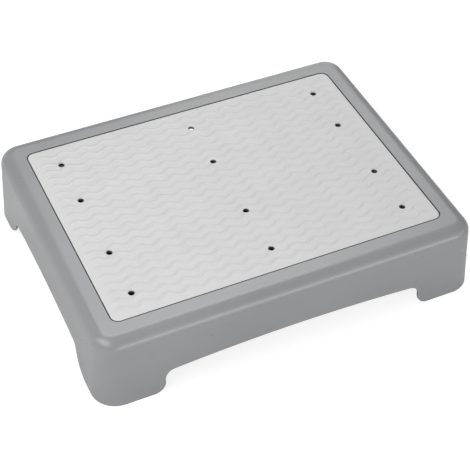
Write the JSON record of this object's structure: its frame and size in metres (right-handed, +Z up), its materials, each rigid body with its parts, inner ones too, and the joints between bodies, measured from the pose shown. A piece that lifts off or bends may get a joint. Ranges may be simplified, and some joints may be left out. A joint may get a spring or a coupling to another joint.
{
  "type": "half step",
  "caption": "Low moulded half step for a caravan or camper door, with arched sides, a ribbed tread mat let into its deck, and drain holes.",
  "frame": {"origin": "on the ground under the middle of the step", "axes": "+Z up, +X along the long side to the right as seen from the front, -Y to the front"},
  "size_m": [0.505, 0.394, 0.1004],
  "materials": {
    "body": "satin, fine moulded grain",
    "mat": "matte, wave ribs moulded on"
  },
  "bodies": {
    "root": {"step_body": "body", "tread_mat": "mat"}
  },
  "joints": []
}
